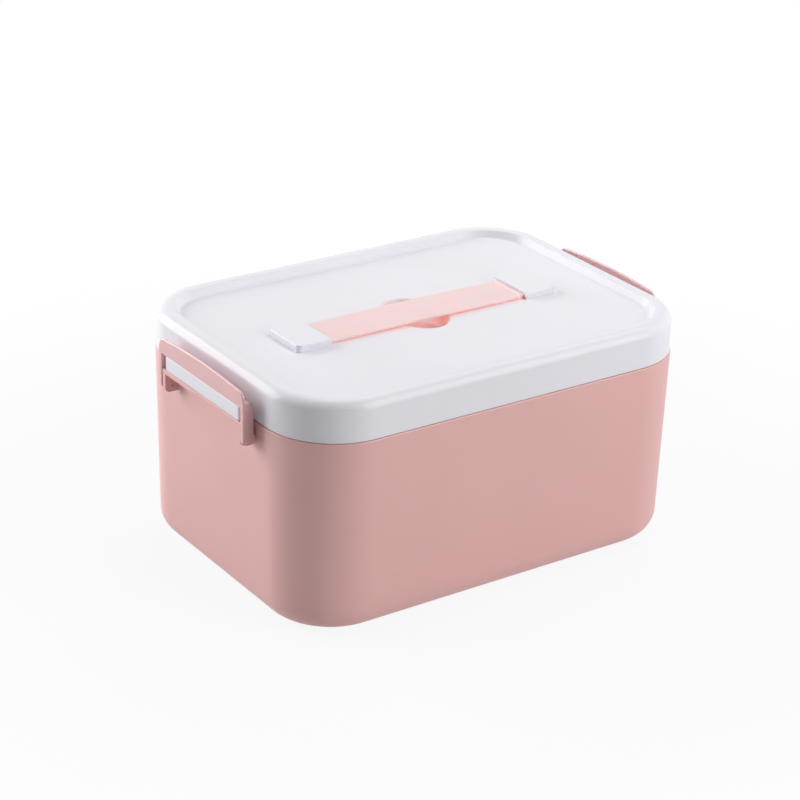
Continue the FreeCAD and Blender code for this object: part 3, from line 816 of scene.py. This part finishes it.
class FIRSTAID_OT_tray(bpy.types.Operator):
    """Model the lift-out tray and its dividers with their edges rounded"""
    bl_idname = "firstaid.tray"
    bl_label = "Tray"

    def execute(self, context):
        s = settings("tray")
        tray = finish_piece(merged_copy("tray"), "tray_moulding", "tray", "tray", "tray_white")
        soft_edges(tray, s.edge, 2)
        for side in ("left", "right"):
            node = "tray_divider_" + side
            plate = finish_piece(merged_copy(node), node + "_plate", "divider_" + side, node,
                                 "divider_white")
            soft_edges(plate, s.edge)
        return {"FINISHED"}


class FIRSTAID_OT_studio(bpy.types.Operator):
    """Set up the floor, the softboxes and the camera"""
    bl_idname = "firstaid.studio"
    bl_label = "Studio"

    def execute(self, context):
        self.floor()
        self.sky()
        for name, (width, height, place) in SOFTBOXES.items():
            self.softbox("softbox_" + name, getattr(settings("studio"), name), width, height, place)
        self.camera()
        context.scene.view_settings.view_transform = "Standard"
        return {"FINISHED"}

    def floor(self):
        """Paper that keeps a little of the shadow near the object, and is white further off."""
        half = 6.0
        below = 0.1 * MM
        bm = bmesh.new()
        low = Matrix.Translation((0, 0, -below))
        bmesh.ops.create_grid(bm, x_segments=4, y_segments=4, size=half, matrix=low)
        obj = add_mesh("studio_floor", bm)
        material = bpy.data.materials.new("floor_paper")
        material.use_nodes = True
        nodes, links = material.node_tree.nodes, material.node_tree.links
        lit = nodes["Principled BSDF"]
        lit.inputs["Base Color"].default_value = (*settings("studio").floor, 1)
        lit.inputs["Roughness"].default_value = 0.9
        lit.inputs["Specular IOR Level"].default_value = 0.1
        glow = nodes.new("ShaderNodeEmission")
        mix = nodes.new("ShaderNodeMixShader")
        place = nodes.new("ShaderNodeTexCoord")
        far = nodes.new("ShaderNodeVectorMath")
        far.operation = "LENGTH"
        links.new(place.outputs["Object"], far.inputs[0])
        whiter = nodes.new("ShaderNodeMapRange")
        whiter.interpolation_type = "SMOOTHSTEP"
        for label, value in (("From Min", 0.25), ("From Max", 0.6), ("To Min", 0.9), ("To Max", 1.0)):
            whiter.inputs[label].default_value = value
        links.new(far.outputs["Value"], whiter.inputs["Value"])
        share_seen = nodes.new("ShaderNodeMath")
        share_seen.operation = "MULTIPLY"
        links.new(seen_ray(nodes, links), share_seen.inputs[0])
        links.new(whiter.outputs["Result"], share_seen.inputs[1])
        links.new(share_seen.outputs[0], mix.inputs["Fac"])
        links.new(lit.outputs["BSDF"], mix.inputs[1])
        links.new(glow.outputs["Emission"], mix.inputs[2])
        links.new(mix.outputs["Shader"], nodes["Material Output"].inputs["Surface"])
        obj.data.materials.append(material)

    def sky(self):
        """White to the eye and in reflections, with a low level of light on the object."""
        world = bpy.context.scene.world or bpy.data.worlds.new("studio")
        bpy.context.scene.world = world
        world.use_nodes = True
        nodes, links = world.node_tree.nodes, world.node_tree.links
        white = nodes["Background"]
        white.inputs["Color"].default_value = (1, 1, 1, 1)
        ambient = nodes.new("ShaderNodeBackground")
        ambient.inputs["Color"].default_value = (1, 1, 1, 1)
        ambient.inputs["Strength"].default_value = settings("studio").sky
        mix = nodes.new("ShaderNodeMixShader")
        links.new(seen_ray(nodes, links), mix.inputs["Fac"])
        links.new(ambient.outputs["Background"], mix.inputs[1])
        links.new(white.outputs["Background"], mix.inputs[2])
        links.new(mix.outputs["Shader"], nodes["World Output"].inputs["Surface"])

    def softbox(self, name, power, width, height, place):
        light = bpy.data.lights.new(name, "AREA")
        light.shape = "RECTANGLE"
        light.size = width
        light.size_y = height
        light.energy = power
        obj = add_object(name, light)
        obj.location = place
        middle = Vector((0, 0, 0.08))
        aim = middle - Vector(place)
        obj.rotation_euler = aim.to_track_quat("-Z", "Y").to_euler()

    def camera(self):
        """The photograph's view: bearing, height, roll, distance and field."""
        bearing, height, roll = (math.radians(a) for a in (-35.095, 24.395, 1.782))
        away, right_by, up_by = 1.672269, -0.008322, 0.086866
        focal_px, frame_px, sensor = 2338.604, 800, 36.0
        back = Vector((math.sin(bearing) * math.cos(height), -math.cos(bearing) * math.cos(height),
                       math.sin(height)))
        right = Vector((math.cos(bearing), math.sin(bearing), 0))
        up = back.cross(right)
        place = back * away + right * right_by + up * up_by
        across = right * math.cos(roll) + up * math.sin(roll)
        upward = up * math.cos(roll) - right * math.sin(roll)
        data = bpy.data.cameras.new("photo_camera")
        data.sensor_width = sensor
        data.lens = sensor * focal_px / frame_px
        data.shift_x = -0.5 / frame_px
        data.shift_y = 0.5 / frame_px
        data.clip_start = 0.05
        data.clip_end = 30
        obj = add_object("photo_camera", data)
        turn = Matrix((across, upward, back)).transposed()
        obj.matrix_world = Matrix.Translation(place) @ turn.to_4x4()
        bpy.context.scene.camera = obj


def seen_ray(nodes, links):
    """1 for camera, glossy and transmission rays, 0 for the light that reaches surfaces."""
    path = nodes.new("ShaderNodeLightPath")
    total = path.outputs["Is Camera Ray"]
    for label in ("Is Glossy Ray", "Is Transmission Ray"):
        add = nodes.new("ShaderNodeMath")
        add.operation = "ADD"
        add.use_clamp = True
        links.new(total, add.inputs[0])
        links.new(path.outputs[label], add.inputs[1])
        total = add.outputs[0]
    return total


STEPS = (FIRSTAID_OT_finishes, FIRSTAID_OT_tub, FIRSTAID_OT_lid, FIRSTAID_OT_latches, FIRSTAID_OT_strap,
         FIRSTAID_OT_tray, FIRSTAID_OT_studio)


class FIRSTAID_PT_panel(bpy.types.Panel):
    """Shows the settings of the first aid box and the buttons for its steps"""
    bl_idname = "FIRSTAID_PT_panel"
    bl_label = "First aid box"
    bl_space_type = "VIEW_3D"
    bl_region_type = "UI"
    bl_category = "First aid box"

    def draw(self, context):
        layout = self.layout
        for name in GROUPS:
            box = layout.box()
            box.label(text=name.capitalize())
            group = settings(name)
            for key in group.bl_rna.properties.keys():
                if key not in ("name", "rna_type"):
                    box.prop(group, key)
        for step in STEPS:
            layout.operator(step.bl_idname)


def register():
    for name, group in GROUPS.items():
        bpy.utils.register_class(group)
        setattr(bpy.types.Scene, "first_aid_" + name, PointerProperty(type=group))
    for step in STEPS:
        bpy.utils.register_class(step)
    bpy.utils.register_class(FIRSTAID_PT_panel)


def unregister():
    bpy.utils.unregister_class(FIRSTAID_PT_panel)
    for step in reversed(STEPS):
        bpy.utils.unregister_class(step)
    for name, group in GROUPS.items():
        delattr(bpy.types.Scene, "first_aid_" + name)
        bpy.utils.unregister_class(group)


def main():
    register()
    bpy.ops.firstaid.finishes()
    bpy.ops.firstaid.tub()
    bpy.ops.firstaid.lid()
    bpy.ops.firstaid.latches()
    bpy.ops.firstaid.strap()
    bpy.ops.firstaid.tray()
    bpy.ops.firstaid.studio()


if __name__ == "__main__":
    main()
